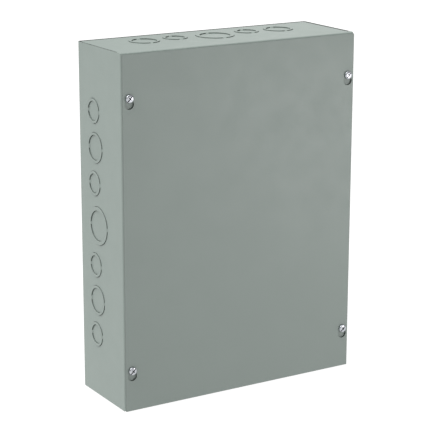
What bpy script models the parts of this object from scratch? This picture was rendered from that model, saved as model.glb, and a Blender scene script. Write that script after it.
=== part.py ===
"""Flat screw-cover pull box in folded sheet steel, with concentric knockouts in its four walls.

Metres, +Z up. The origin is at the bottom centre, the cover faces -Y, and +X is to the right.
"""

from math import cos, pi, radians, sin

import bmesh
import bpy

MM = 0.001

# Box body
BOX_WIDTH = 304.8 * MM
BOX_HEIGHT = 406.4 * MM
BOX_DEPTH = 101.6 * MM
SHEET = 1.5 * MM
BEND_RADIUS = 2.5 * MM
BEND_SEGMENTS = 3
SIDE_FLANGE = 19.0 * MM
END_FLANGE = 16.0 * MM
CLEARANCE = 0.3 * MM

# Cover, which sits a little low on the body
COVER_SHEET = 1.5 * MM
COVER_SIDE_MARGIN = 0.9 * MM
COVER_TOP_DROP = 1.6 * MM
COVER_BOTTOM_MARGIN = 0.4 * MM

# Number 10 cover screws in keyholes
SCREW_INSET_X = 7.9 * MM
SCREW_INSET_Z = 47.6 * MM
HEAD_RADIUS = 4.75 * MM
HEAD_HEIGHT = 2.6 * MM
HEAD_EDGE_RADIUS = 1.5 * MM
SHANK_RADIUS = 2.4 * MM
SHANK_LENGTH = 12.7 * MM
SHANK_POINT = 0.8 * MM
SLOT_WIDTH = 1.2 * MM
SLOT_DEPTH = 1.1 * MM
CROSS_LENGTH = 5.0 * MM
CROSS_DEPTH = 1.6 * MM
KEYHOLE_SLOT_RADIUS = 2.8 * MM
KEYHOLE_ROUND_RADIUS = 5.55 * MM
KEYHOLE_DROP = 6.4 * MM
COLLAR_RADIUS = 4.2 * MM
COLLAR_LENGTH = 2.2 * MM

# Mounting holes in the back
MOUNT_HOLE_RADIUS = 3.95 * MM
MOUNT_SPACING_X = 254.0 * MM
MOUNT_SPACING_Z = 355.6 * MM

# Knockouts: outer and inner radius of each trade size, and where they stand along a wall
RING_RAISE = 0.8 * MM
SLUG_SINK = 0.3 * MM
KNOCKOUT_EDGE_TO_BACK = 21.0 * MM
ROUND_SEGMENTS = 20
SMALL = (14.3 * MM, 11.1 * MM)
MEDIUM = (17.45 * MM, 14.3 * MM)
LARGE = (22.2 * MM, 17.45 * MM)
SIDE_ROW = (
    (130.2 * MM, SMALL),
    (88.9 * MM, MEDIUM),
    (47.6 * MM, SMALL),
    (0.0, LARGE),
    (-47.6 * MM, SMALL),
    (-88.9 * MM, MEDIUM),
    (-130.2 * MM, SMALL),
)
END_ROW = (
    (-88.9 * MM, MEDIUM),
    (-47.6 * MM, SMALL),
    (0.0, LARGE),
    (47.6 * MM, SMALL),
    (88.9 * MM, MEDIUM),
)

CUTTER_REACH = 5.0 * MM

# Places worked out from the above
TOTAL_DEPTH = HEAD_HEIGHT + COVER_SHEET + BOX_DEPTH + 2 * CLEARANCE
BACK_Y = TOTAL_DEPTH / 2
FRONT_Y = BACK_Y - BOX_DEPTH
BASE_Z = RING_RAISE
TOP_Z = BASE_Z + BOX_HEIGHT
MIDDLE_Z = BASE_Z + BOX_HEIGHT / 2
SIDE_X = BOX_WIDTH / 2
END_SIDE_X = SIDE_X - SHEET - CLEARANCE
END_BACK_Y = BACK_Y - SHEET - CLEARANCE
COVER_BACK_Y = FRONT_Y - CLEARANCE
COVER_FRONT_Y = COVER_BACK_Y - COVER_SHEET
COVER_SIDE_X = SIDE_X - COVER_SIDE_MARGIN
COVER_BASE_Z = BASE_Z + COVER_BOTTOM_MARGIN
COVER_TOP_Z = TOP_Z - COVER_TOP_DROP
HEAD_SEAT_Y = COVER_FRONT_Y - CLEARANCE
SCREW_PLACES = {
    "top_left": (SCREW_INSET_X - COVER_SIDE_X, COVER_TOP_Z - SCREW_INSET_Z),
    "top_right": (COVER_SIDE_X - SCREW_INSET_X, COVER_TOP_Z - SCREW_INSET_Z),
    "bottom_left": (SCREW_INSET_X - COVER_SIDE_X, COVER_BASE_Z + SCREW_INSET_Z),
    "bottom_right": (COVER_SIDE_X - SCREW_INSET_X, COVER_BASE_Z + SCREW_INSET_Z),
}

FACING_FRONT = (pi / 2, 0, 0)
FACING_UP = (0, 0, 0)
FACING_DOWN = (0, pi, 0)
FACING_LEFT = (0, -pi / 2, 0)
FACING_RIGHT = (0, pi / 2, 0)


def clear_scene():
    for old in list(bpy.data.objects):
        bpy.data.objects.remove(old, do_unlink=True)


def material(name, colour, roughness, metallic):
    made = bpy.data.materials.new(name)
    made.use_nodes = True
    shader = made.node_tree.nodes["Principled BSDF"]
    shader.inputs["Base Color"].default_value = (*colour, 1)
    shader.inputs["Roughness"].default_value = roughness
    shader.inputs["Metallic"].default_value = metallic
    made.diffuse_color = (*colour, 1)
    return made


def paint(name):
    return material(name, (0.33, 0.38, 0.36), 0.45, 0.0)


def mesh_from(bm, name):
    """The bmesh as a mesh with its faces pointing out, smooth on its round parts."""
    bmesh.ops.recalc_face_normals(bm, faces=bm.faces)
    mesh = bpy.data.meshes.new(name)
    bm.to_mesh(mesh)
    bm.free()
    mesh.shade_smooth()
    mesh.set_sharp_from_angle(angle=radians(40))
    return mesh


def place(name, mesh, look=None, at=(0, 0, 0), turn=(0, 0, 0), collection=None):
    made = bpy.data.objects.new(name, mesh)
    made.location = at
    made.rotation_euler = turn
    (collection or bpy.context.scene.collection).objects.link(made)
    if look:
        mesh.materials.clear()
        mesh.materials.append(look)
    return made


def turned(name, profile, segments=ROUND_SEGMENTS, closed=False):
    """The profile, a list of (radius, z), turned about Z. An open profile starts and ends on the axis."""
    bm = bmesh.new()
    corners = [bm.verts.new((radius, 0, z)) for radius, z in profile]
    ends = corners[1:] + corners[:1] if closed else corners[1:]
    edges = [bm.edges.new(pair) for pair in zip(corners, ends)]
    bmesh.ops.spin(
        bm, geom=corners + edges, cent=(0, 0, 0), axis=(0, 0, 1), angle=2 * pi, steps=segments
    )
    bmesh.ops.remove_doubles(bm, verts=bm.verts, dist=1e-6)
    return mesh_from(bm, name)


def disc(name, radius, top, bottom, segments=ROUND_SEGMENTS):
    return turned(name, [(0, top), (radius, top), (radius, bottom), (0, bottom)], segments)


def block(name, low, high):
    bm = bmesh.new()
    bmesh.ops.create_cube(bm, size=1)
    for vert in bm.verts:
        for axis in range(3):
            vert.co[axis] = low[axis] if vert.co[axis] < 0 else high[axis]
    return mesh_from(bm, name)


def boolean(target, name, operation, cutters):
    modifier = target.modifiers.new(name, "BOOLEAN")
    modifier.operation = operation
    modifier.solver = "EXACT"
    modifier.operand_type = "COLLECTION"
    modifier.collection = cutters


def helpers(name):
    """A collection for shapes that cut or join, kept out of the part itself."""
    made = bpy.data.collections.new(name)
    bpy.context.scene.collection.children.link(made)
    return made


def hide(collection):
    for shape in collection.objects:
        shape.hide_render = True
        shape.display_type = "WIRE"


def bend(centre, start, end):
    """Points of one rounded corner of a folded sheet, from angle start to angle end."""
    steps = range(BEND_SEGMENTS + 1)
    angles = [radians(start + (end - start) * step / BEND_SEGMENTS) for step in steps]
    return [
        (centre[0] + BEND_RADIUS * cos(angle), centre[1] + BEND_RADIUS * sin(angle))
        for angle in angles
    ]


def folded_outline():
    """Outside of the wrapper seen from above, from the left flange round the back to the right flange."""
    left, right = -SIDE_X + BEND_RADIUS, SIDE_X - BEND_RADIUS
    front, back = FRONT_Y + BEND_RADIUS, BACK_Y - BEND_RADIUS
    return [
        (SIDE_FLANGE - SIDE_X, FRONT_Y),
        *bend((left, front), 270, 180),
        *bend((left, back), 180, 90),
        *bend((right, back), 90, 0),
        *bend((right, front), 0, -90),
        (SIDE_X - SIDE_FLANGE, FRONT_Y),
    ]


def give_thickness(target):
    modifier = target.modifiers.new("sheet thickness", "SOLIDIFY")
    modifier.thickness = SHEET
    modifier.offset = -1
    modifier.use_even_offset = True
    modifier.use_rim = True


def wrapper_surface():
    bm = bmesh.new()
    low = [bm.verts.new((x, y, BASE_Z)) for x, y in folded_outline()]
    edges = [bm.edges.new(pair) for pair in zip(low, low[1:])]
    raised = bmesh.ops.extrude_edge_only(bm, edges=edges)["geom"]
    for item in raised:
        if isinstance(item, bmesh.types.BMVert):
            item.co.z = TOP_Z
    return mesh_from(bm, "body_shell")


def side_knockout_place(sign, height, radius):
    return (sign * SIDE_X, BACK_Y - KNOCKOUT_EDGE_TO_BACK - radius, MIDDLE_Z + height)


def end_knockout_place(z, along, radius):
    return (along, BACK_Y - KNOCKOUT_EDGE_TO_BACK - radius, z)


def knockout_hole(outer, at, turn, collection):
    mesh = disc("knockout_cutter", outer, CUTTER_REACH, -CUTTER_REACH)
    place("knockout_cutter", mesh, at=at, turn=turn, collection=collection)


def cut_flange_ends(collection):
    """Blocks that shorten the side flanges, so that the end panels' flanges fit above and below them."""
    near = SIDE_X - SIDE_FLANGE - CUTTER_REACH
    far = END_SIDE_X + CLEARANCE / 2
    for low, high in (
        (BASE_Z - CUTTER_REACH, BASE_Z + END_FLANGE + CLEARANCE),
        (TOP_Z - END_FLANGE - CLEARANCE, TOP_Z + CUTTER_REACH),
    ):
        for left, right in ((-far, -near), (near, far)):
            lows = (left, FRONT_Y - CUTTER_REACH, low)
            highs = (right, FRONT_Y + BEND_RADIUS + CLEARANCE, high)
            place("flange_end", block("flange_end", lows, highs), collection=collection)


def build_body_shell():
    shell = place("body_shell", wrapper_surface(), paint("body_shell_paint"))
    give_thickness(shell)

    collars = helpers("collar_shapes")
    cutters = helpers("shell_cutters")
    for x, z in SCREW_PLACES.values():
        at = (x, FRONT_Y, z)
        collar = disc("collar", COLLAR_RADIUS, -SHEET / 2, -SHEET - COLLAR_LENGTH, 12)
        place("collar", collar, at=at, turn=FACING_FRONT, collection=collars)
        bore = disc("bore", SHANK_RADIUS + CLEARANCE, CUTTER_REACH, -2 * CUTTER_REACH, 12)
        place("bore", bore, at=at, turn=FACING_FRONT, collection=cutters)
    for x in (-MOUNT_SPACING_X / 2, MOUNT_SPACING_X / 2):
        for z in (MIDDLE_Z - MOUNT_SPACING_Z / 2, MIDDLE_Z + MOUNT_SPACING_Z / 2):
            hole = disc("mount_hole", MOUNT_HOLE_RADIUS, CUTTER_REACH, -CUTTER_REACH, 12)
            place("mount_hole", hole, at=(x, BACK_Y, z), turn=FACING_FRONT, collection=cutters)
    for height, (outer, _) in SIDE_ROW:
        for sign, turn in ((-1, FACING_LEFT), (1, FACING_RIGHT)):
            knockout_hole(outer, side_knockout_place(sign, height, outer), turn, cutters)
    cut_flange_ends(cutters)
    boolean(shell, "join collars", "UNION", collars)
    boolean(shell, "cut holes", "DIFFERENCE", cutters)
    hide(collars)
    hide(cutters)


def pan_surface():
    """Outside of an end panel: a shallow tray, open underneath, with its top at z = 0."""
    bm = bmesh.new()
    bmesh.ops.create_cube(bm, size=1)
    for vert in bm.verts:
        vert.co.x = END_SIDE_X if vert.co.x > 0 else -END_SIDE_X
        vert.co.y = END_BACK_Y if vert.co.y > 0 else FRONT_Y
        vert.co.z = 0 if vert.co.z > 0 else -END_FLANGE
    floor = [face for face in bm.faces if face.normal.z < -0.5]
    bmesh.ops.delete(bm, geom=floor, context="FACES_ONLY")
    folds = [edge for edge in bm.edges if max(vert.co.z for vert in edge.verts) > -MM]
    bmesh.ops.bevel(
        bm, geom=folds, offset=BEND_RADIUS, segments=BEND_SEGMENTS, affect="EDGES", profile=0.5
    )
    return mesh_from(bm, "end_panel")


def build_end_panels():
    for name, z, turn in (
        ("top_panel", TOP_Z, FACING_UP),
        ("bottom_panel", BASE_Z, FACING_DOWN),
    ):
        panel = place(name, pan_surface(), paint(name + "_paint"), (0, 0, z), turn)
        give_thickness(panel)
        cutters = helpers(name + "_cutters")
        for along, (outer, _) in END_ROW:
            knockout_hole(outer, end_knockout_place(z, along, outer), turn, cutters)
        boolean(panel, "cut holes", "DIFFERENCE", cutters)
        hide(cutters)


def build_knockout(wall, number, sizes, at, turn):
    """One concentric knockout: a ring raised out of the wall, round a slug sunk into it."""
    outer, inner = sizes
    outer -= CLEARANCE
    raised, sunk = RING_RAISE, -SLUG_SINK
    profile = [(outer, raised), (inner, raised), (inner, raised - SHEET), (outer, raised - SHEET)]
    ring = turned("knockout_ring", profile, closed=True)
    place(f"knockout_ring_{wall}_{number}", ring, paint("knockout_ring_paint"), at, turn)
    slug = disc("knockout_slug", inner - CLEARANCE, sunk, sunk - SHEET)
    place(f"knockout_slug_{wall}_{number}", slug, paint("knockout_slug_paint"), at, turn)


def build_knockouts():
    for number, (height, sizes) in enumerate(SIDE_ROW, 1):
        left = side_knockout_place(-1, height, sizes[0])
        right = side_knockout_place(1, height, sizes[0])
        build_knockout("left", number, sizes, left, FACING_LEFT)
        build_knockout("right", number, sizes, right, FACING_RIGHT)
    for number, (along, sizes) in enumerate(END_ROW, 1):
        top = end_knockout_place(TOP_Z, along, sizes[0])
        bottom = end_knockout_place(BASE_Z, along, sizes[0])
        build_knockout("top", number, sizes, top, FACING_UP)
        build_knockout("bottom", number, sizes, bottom, FACING_DOWN)


def build_cover():
    middle = (COVER_BASE_Z + COVER_TOP_Z) / 2
    half = (COVER_TOP_Z - COVER_BASE_Z) / 2
    plate = block("cover", (-COVER_SIDE_X, -COVER_SHEET, -half), (COVER_SIDE_X, 0, half))
    cover = place("cover", plate, paint("cover_paint"), (0, COVER_BACK_Y, middle))
    rounds = helpers("keyhole_rounds")
    slots = helpers("keyhole_slots")
    for x, z in SCREW_PLACES.values():
        hole = disc("keyhole_round", KEYHOLE_ROUND_RADIUS, CUTTER_REACH, -CUTTER_REACH)
        at = (x, COVER_BACK_Y, z - KEYHOLE_DROP)
        place("keyhole_round", hole, at=at, turn=FACING_FRONT, collection=rounds)
        slot_end = disc("keyhole_slot_end", KEYHOLE_SLOT_RADIUS, CUTTER_REACH, -CUTTER_REACH, 16)
        at = (x, COVER_BACK_Y, z)
        place("keyhole_slot_end", slot_end, at=at, turn=FACING_FRONT, collection=rounds)
        lows = (x - KEYHOLE_SLOT_RADIUS, COVER_BACK_Y - CUTTER_REACH, z - KEYHOLE_DROP)
        highs = (x + KEYHOLE_SLOT_RADIUS, COVER_BACK_Y + CUTTER_REACH, z)
        place("keyhole_slot", block("keyhole_slot", lows, highs), collection=slots)
    boolean(cover, "cut keyhole rounds", "DIFFERENCE", rounds)
    boolean(cover, "cut keyhole slots", "DIFFERENCE", slots)
    hide(rounds)
    hide(slots)


def screw_profile():
    """Pan head above z = 0 and a shank with a short point below it."""
    rim = [
        (
            HEAD_RADIUS - HEAD_EDGE_RADIUS * (1 - sin(angle)),
            HEAD_HEIGHT - HEAD_EDGE_RADIUS * (1 - cos(angle)),
        )
        for angle in (0, pi / 6, pi / 3, pi / 2)
    ]
    return [
        (0, HEAD_HEIGHT),
        *rim,
        (HEAD_RADIUS, 0),
        (SHANK_RADIUS, 0),
        (SHANK_RADIUS, SHANK_POINT - SHANK_LENGTH),
        (SHANK_RADIUS - SHANK_POINT, -SHANK_LENGTH),
        (0, -SHANK_LENGTH),
    ]


def build_screws():
    """Four screws with one slot right across the head and a short cross in its middle."""
    for name, (x, z) in SCREW_PLACES.items():
        mesh = turned("cover_screw", screw_profile(), 16)
        at = (x, HEAD_SEAT_Y, z)
        zinc = material("cover_screw_zinc", (0.72, 0.72, 0.7), 0.3, 1.0)
        screw = place(f"cover_screw_{name}", mesh, zinc, at, FACING_FRONT)
        cutters = helpers(f"recess_{name}")
        lows = (-2 * HEAD_RADIUS, -SLOT_WIDTH / 2, HEAD_HEIGHT - SLOT_DEPTH)
        highs = (2 * HEAD_RADIUS, SLOT_WIDTH / 2, 2 * HEAD_HEIGHT)
        slot = block("slot", lows, highs)
        place("slot", slot, at=at, turn=(pi / 2, pi / 4, 0), collection=cutters)
        lows = (-SLOT_WIDTH / 2, -CROSS_LENGTH / 2, HEAD_HEIGHT - CROSS_DEPTH)
        highs = (SLOT_WIDTH / 2, CROSS_LENGTH / 2, 2 * HEAD_HEIGHT)
        cross = block("cross", lows, highs)
        place("cross", cross, at=at, turn=(pi / 2, pi / 4, 0), collection=cutters)
        boolean(screw, "cut recess", "DIFFERENCE", cutters)
        hide(cutters)


def main():
    clear_scene()
    build_body_shell()
    build_end_panels()
    build_knockouts()
    build_cover()
    build_screws()


main()
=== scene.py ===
"""Finished look of a flat screw-cover pull box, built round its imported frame.

Metres, +Z up, and the cover faces -Y. Each piece has its place in its own mesh and rides on a body.
"""

from math import pi, radians

import bmesh
import bpy
from bpy.props import FloatProperty, FloatVectorProperty, IntProperty, PointerProperty
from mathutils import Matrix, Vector


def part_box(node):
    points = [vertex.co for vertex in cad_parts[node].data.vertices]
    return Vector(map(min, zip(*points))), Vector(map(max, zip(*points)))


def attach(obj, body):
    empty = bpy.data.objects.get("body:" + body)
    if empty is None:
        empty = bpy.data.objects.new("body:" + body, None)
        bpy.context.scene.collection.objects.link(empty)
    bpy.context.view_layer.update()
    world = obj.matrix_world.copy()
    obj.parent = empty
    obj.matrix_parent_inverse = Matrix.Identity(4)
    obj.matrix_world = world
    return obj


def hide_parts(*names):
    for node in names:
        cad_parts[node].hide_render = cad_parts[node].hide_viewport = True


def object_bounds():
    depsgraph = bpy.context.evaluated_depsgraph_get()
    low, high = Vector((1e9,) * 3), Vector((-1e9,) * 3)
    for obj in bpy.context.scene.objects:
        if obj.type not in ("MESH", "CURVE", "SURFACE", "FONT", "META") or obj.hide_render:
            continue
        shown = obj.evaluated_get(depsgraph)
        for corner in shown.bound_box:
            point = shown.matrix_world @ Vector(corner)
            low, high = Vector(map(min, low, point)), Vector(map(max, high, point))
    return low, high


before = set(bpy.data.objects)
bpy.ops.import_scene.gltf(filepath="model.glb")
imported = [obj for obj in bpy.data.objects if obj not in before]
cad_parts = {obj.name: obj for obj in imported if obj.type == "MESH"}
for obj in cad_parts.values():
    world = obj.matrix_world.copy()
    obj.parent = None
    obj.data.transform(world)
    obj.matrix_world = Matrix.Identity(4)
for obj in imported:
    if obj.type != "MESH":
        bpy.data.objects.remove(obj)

bl_info = {
    "name": "Screw-Cover Pull Box",
    "version": (1, 0, 0),
    "blender": (4, 5, 0),
    "location": "3D View > Sidebar > Pull Box",
    "description": "Builds a painted sheet-steel pull box piece by piece on its packed frame",
    "category": "Add Mesh",
}

MM = 0.001
NEAR = 0.01 * MM
CAD_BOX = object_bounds()

# Places that the frame gives
SHELL_LOW, SHELL_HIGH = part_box("body_shell")
PAN_LOW, PAN_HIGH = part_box("top_panel")
COVER_LOW, COVER_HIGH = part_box("cover")
FRONT_Y, BACK_Y = SHELL_LOW.y, SHELL_HIGH.y
SIDE_X = SHELL_HIGH.x
BASE_Z, TOP_Z = SHELL_LOW.z, SHELL_HIGH.z
MIDDLE_Z = (BASE_Z + TOP_Z) / 2

# Fits that the frame keeps free
CLEARANCE = 0.3 * MM
MOUNT_HOLE_RADIUS = 3.95 * MM
MOUNT_SPACING = Vector((254.0 * MM, 0, 355.6 * MM))
SCREW_BORE_RADIUS = 2.7 * MM
COLLAR_RADIUS = 4.2 * MM
COLLAR_LENGTH = 2.2 * MM
KEYHOLE_SLOT_RADIUS = 2.8 * MM
KEYHOLE_ROUND_RADIUS = 5.55 * MM
KEYHOLE_DROP = 6.4 * MM
CORNERS = ("top_left", "top_right", "bottom_left", "bottom_right")

# Wall name, number of knockouts, the way out of the wall, and the turn that faces a knockout that way
SIDE_WALLS = (
    ("left", 7, Vector((-1, 0, 0)), (0, -pi / 2, 0)),
    ("right", 7, Vector((1, 0, 0)), (0, pi / 2, 0)),
)
END_WALLS = (
    ("top", 5, Vector((0, 0, 1)), (0, 0, 0)),
    ("bottom", 5, Vector((0, 0, -1)), (0, pi, 0)),
)
# Outer and inner radius of each trade size
SIZES = {
    "small": (14.3 * MM, 11.1 * MM),
    "medium": (17.45 * MM, 14.3 * MM),
    "large": (22.2 * MM, 17.45 * MM),
}
FACING_FRONT = (pi / 2, 0, 0)
HOLE_SIDES = 96
# Length of a cutter through the sheet, and how far a cutter stands past an edge that it trims
CUTTER_LENGTH = 12 * MM
CUTTER_PAST = 5 * MM

# Keywords that colour settings and share settings have in common
COLOUR = {"subtype": "COLOR", "size": 3, "min": 0, "max": 1}
SHARE = {"subtype": "FACTOR", "min": 0, "max": 1}

# Screw: the head's height, its radius at the seat, the length of the tapered point, and the head's
# outline in millimetres, as height above the seat and radius
HEAD_HEIGHT = 2.6 * MM
SEAT_RADIUS = 4.65 * MM
POINT_LENGTH = 0.9 * MM
HEAD_STATIONS = (
    (0.12, 4.75),
    (1.05, 4.75),
    (1.45, 4.66),
    (1.82, 4.42),
    (2.12, 4.02),
    (2.34, 3.45),
    (2.49, 2.7),
    (2.57, 1.8),
    (2.6, 0.8),
)


class BodySettings(bpy.types.PropertyGroup):
    sheet: FloatProperty(
        name="Sheet", description="Thickness of the steel sheet", default=1.5 * MM, unit="LENGTH"
    )
    bend_radius: FloatProperty(
        name="Bend Radius", description="Outside radius of each fold", default=2.5 * MM, unit="LENGTH"
    )
    bend_steps: IntProperty(
        name="Bend Steps", description="Flats that make up one fold", default=8, min=3
    )
    side_flange: FloatProperty(
        name="Side Flange", default=19.0 * MM, unit="LENGTH",
        description="Width of the flange that the cover screws go into",
    )
    edge_round: FloatProperty(
        name="Edge Round", default=0.22 * MM, unit="LENGTH",
        description="Rounding that the paint gives to a cut edge",
    )
    weld_length: FloatProperty(
        name="Weld Length", default=9.0 * MM, unit="LENGTH",
        description="How far each front corner is welded and ground",
    )
    # Painted shade: how far the much darker seam shade reaches from each end of the body.
    seam_shade_depth: FloatProperty(
        name="Seam Depth", default=3.2 * MM, unit="LENGTH",
        description="How deep the seam beside an end pan is, where little powder reaches",
    )
    spot_radius: FloatProperty(
        name="Spot Weld Radius", default=2.8 * MM, unit="LENGTH",
        description="Radius of a spot weld's mark inside the box",
    )


class KnockoutSettings(bpy.types.PropertyGroup):
    raised: FloatProperty(
        name="Ring Raised", default=0.8 * MM, unit="LENGTH",
        description="How far a ring stands out of its wall",
    )
    sunk: FloatProperty(
        name="Slug Sunk", default=0.3 * MM, unit="LENGTH",
        description="How far a slug lies below its wall",
    )
    shear_gap: FloatProperty(
        name="Shear Gap", default=0.3 * MM, unit="LENGTH",
        description="Gap left by the punch round a ring or a slug",
    )
    tie_width: FloatProperty(
        name="Tie Width", default=4.0 * MM, unit="LENGTH",
        description="Width of each small bridge of steel that holds a ring or a slug",
    )
    tie_run: FloatProperty(
        name="Tie Run", default=1.3 * MM, unit="LENGTH",
        description="Length of the slope that each bridge bends over",
    )


class ScrewSettings(bpy.types.PropertyGroup):
    pitch: FloatProperty(
        name="Pitch", description="Thread pitch", default=0.79 * MM, unit="LENGTH"
    )
    crest_radius: FloatProperty(
        name="Crest Radius", description="Radius over the thread", default=2.36 * MM, unit="LENGTH"
    )
    core_radius: FloatProperty(
        name="Core Radius", description="Radius under the thread", default=1.9 * MM, unit="LENGTH"
    )
    slot_width: FloatProperty(
        name="Slot Width", description="Width of the slot", default=1.2 * MM, unit="LENGTH"
    )
    slot_turn: FloatProperty(
        name="Slot Turn", default=radians(-45), subtype="ANGLE",
        description="How far the slot stands from level",
    )


class FinishSettings(bpy.types.PropertyGroup):
    paint: FloatVectorProperty(
        name="Paint", description="Colour of the powder coat", default=(0.206, 0.243, 0.224), **COLOUR
    )
    paint_roughness: FloatProperty(
        name="Paint Roughness", description="Mean roughness of the powder coat", default=0.46, **SHARE
    )
    # Partly painted shade: the darker coat on sheared edges stands for thinner paint and for the shade of
    # the gap beside each edge.
    edge_coat_and_gap_shade: FloatProperty(
        name="Sheared Edge Coat", default=0.62, **SHARE,
        description="How light the thin paint on a sheared edge is, beside the full coat",
    )
    # Painted shade: the much darker coat in the seams beside the end pans and in the keyholes stands in
    # for the shade that falls there.
    seam_painted_shade: FloatProperty(
        name="Seam Coat", default=0.16, **SHARE,
        description="How light the scant paint in a seam or a keyhole is, beside the full coat",
    )
    zinc: FloatVectorProperty(
        name="Zinc", description="Colour of the plated screws", default=(0.52, 0.53, 0.54), **COLOUR
    )
    # Painted shade: the much darker zinc in the screw's recess stands in for the shade inside the slot
    # and the cross.
    recess_painted_shade: FloatProperty(
        name="Recess Zinc", default=0.25, **SHARE,
        description="How light the plating is inside the screw's recess, beside its head",
    )


class StageSettings(bpy.types.PropertyGroup):
    floor_colour: FloatVectorProperty(
        name="Floor", description="Colour of the floor", default=(0.08, 0.08, 0.08), **COLOUR
    )
    floor_glow: FloatProperty(
        name="Floor Glow", description="Light that comes up through the floor", default=0.96
    )
    sky: FloatProperty(
        name="Sky", description="Strength of the even light all round", default=0.5
    )
    key: FloatProperty(
        name="Key", description="Strength of the broad light overhead", default=4.6
    )
    fill: FloatProperty(
        name="Fill", description="Power of the soft light on the right", default=3.2, unit="POWER"
    )
    rim: FloatProperty(
        name="Rim", description="Power of the soft light behind the box", default=0.6, unit="POWER"
    )
    key_spread: FloatProperty(
        name="Key Spread", default=radians(60), subtype="ANGLE",
        description="How broad the overhead light is",
    )
    soft_width: FloatProperty(
        name="Soft Width", description="Width of each soft light", default=0.45, unit="LENGTH"
    )
    soft_tint: FloatVectorProperty(
        name="Soft Tint", description="Colour of each soft light", default=(1, 0.955, 0.965), **COLOUR
    )
    camera_place: FloatVectorProperty(
        name="Camera Place", default=(-0.9539, -1.56134, 0.6864), subtype="TRANSLATION", size=3,
        description="Where the camera stands",
    )
    camera_turn: FloatVectorProperty(
        name="Camera Turn",
        description="Which way the camera looks",
        default=(radians(75.0593), radians(-0.1141), radians(-31.2481)),
        subtype="EULER",
        size=3,
    )
    lens: FloatProperty(
        name="Lens", description="Focal length in millimetres on a 36 mm sensor", default=136.1
    )


def pick(*pieces):
    """Object mode, with only these pieces selected and the first one active."""
    if bpy.context.mode != "OBJECT":
        bpy.ops.object.mode_set(mode="OBJECT")
    bpy.ops.object.select_all(action="DESELECT")
    for piece in pieces:
        piece.select_set(True)
    if pieces:
        bpy.context.view_layer.objects.active = pieces[0]


def edit(piece):
    pick(piece)
    bpy.ops.object.mode_set(mode="EDIT")
    bpy.ops.mesh.select_all(action="DESELECT")


def choose(piece, kind, wanted):
    """Selects the corners, edges or faces of the piece in edit mode that are wanted."""
    bpy.ops.mesh.select_mode(type=kind)
    bpy.ops.mesh.select_all(action="DESELECT")
    shape = bmesh.from_edit_mesh(piece.data)
    for item in {"VERT": shape.verts, "EDGE": shape.edges, "FACE": shape.faces}[kind]:
        if wanted(item):
            item.select_set(True)
    shape.select_flush_mode()
    bmesh.update_edit_mesh(piece.data)


def extrude(by):
    bpy.ops.mesh.extrude_region_move(TRANSFORM_OT_translate={"value": by})


def settle(piece):
    """Puts the piece's place and turn into its mesh."""
    pick(piece)
    bpy.ops.object.transform_apply(location=True, rotation=True, scale=True)


def just_added(name):
    piece = bpy.context.active_object
    piece.name = piece.data.name = name
    settle(piece)
    return piece


def add_block(name, low, high):
    pick()
    low, high = Vector(low), Vector(high)
    bpy.ops.mesh.primitive_cube_add(size=1, location=(low + high) / 2, scale=high - low)
    return just_added(name)


def add_rod(name, radius, length, centre, turn=(0, 0, 0), sides=HOLE_SIDES):
    pick()
    bpy.ops.mesh.primitive_cylinder_add(
        vertices=sides, radius=radius, depth=length, location=centre, rotation=turn
    )
    return just_added(name)


def apply_modifier(piece, kind, **settings):
    pick(piece)
    modifier = piece.modifiers.new(kind.title(), kind)
    for key, value in settings.items():
        setattr(modifier, key, value)
    bpy.ops.object.modifier_apply(modifier=modifier.name)


def join(name, pieces):
    pick(*pieces)
    if len(pieces) > 1:
        bpy.ops.object.join()
    joined = bpy.context.active_object
    joined.name = joined.data.name = name
    return joined


def cut(piece, cutters):
    """Takes the cutters, which don't touch each other, out of the piece."""
    cutter = join("cutter", cutters)
    apply_modifier(piece, "BOOLEAN", operation="DIFFERENCE", solver="EXACT", object=cutter)
    bpy.data.objects.remove(cutter, do_unlink=True)


def smooth(piece, angle=40):
    """Smooth on its round parts, and true on its flats."""
    pick(piece)
    bpy.ops.object.shade_smooth_by_angle(angle=radians(angle))
    apply_modifier(piece, "WEIGHTED_NORMAL", keep_sharp=True, weight=50)


def round_edges(piece, width, segments=2, angle=42):
    apply_modifier(
        piece,
        "BEVEL",
        width=width,
        segments=segments,
        limit_method="ANGLE",
        angle_limit=radians(angle),
        use_clamp_overlap=False,
    )
    smooth(piece)


def fold(body):
    """Rounds the edges chosen in edit mode as sheet bends."""
    bpy.ops.mesh.bevel(offset=body.bend_radius, segments=body.bend_steps, affect="EDGES")


def thicken(piece, body):
    apply_modifier(
        piece, "SOLIDIFY", thickness=body.sheet, offset=-1, use_even_offset=True, use_rim=True
    )


def copy_to(model, name, at=(0, 0, 0), turn=(0, 0, 0)):
    """A copy with its own mesh, turned and then moved from where the model stands."""
    pick(model)
    bpy.ops.object.duplicate(linked=False)
    piece = bpy.context.active_object
    piece.name = piece.data.name = name
    piece.location, piece.rotation_euler = at, turn
    settle(piece)
    return piece


def forget(*models):
    for model in models:
        bpy.data.objects.remove(model, do_unlink=True)


def finish_with(piece, finish, *edge_finishes):
    """Gives the piece its finish, and each further finish to the faces that its test picks."""
    piece.data.materials.clear()
    piece.data.materials.append(finish)
    for slot, (edge_finish, at_edge) in enumerate(edge_finishes, 1):
        piece.data.materials.append(edge_finish)
        edit(piece)
        choose(piece, "FACE", at_edge)
        piece.active_material_index = slot
        bpy.ops.object.material_slot_assign()
    pick(piece)


def hand_over(piece, body, slot, *nodes):
    """Puts the piece on its body, and hides the frame's nodes that it stands for."""
    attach(piece, body)
    if nodes:
        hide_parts(*nodes)


def middle(node):
    low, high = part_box(node)
    return (low + high) / 2


def screw_place(corner):
    centre = middle(f"cover_screw_{corner}")
    return centre.x, centre.z


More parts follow.
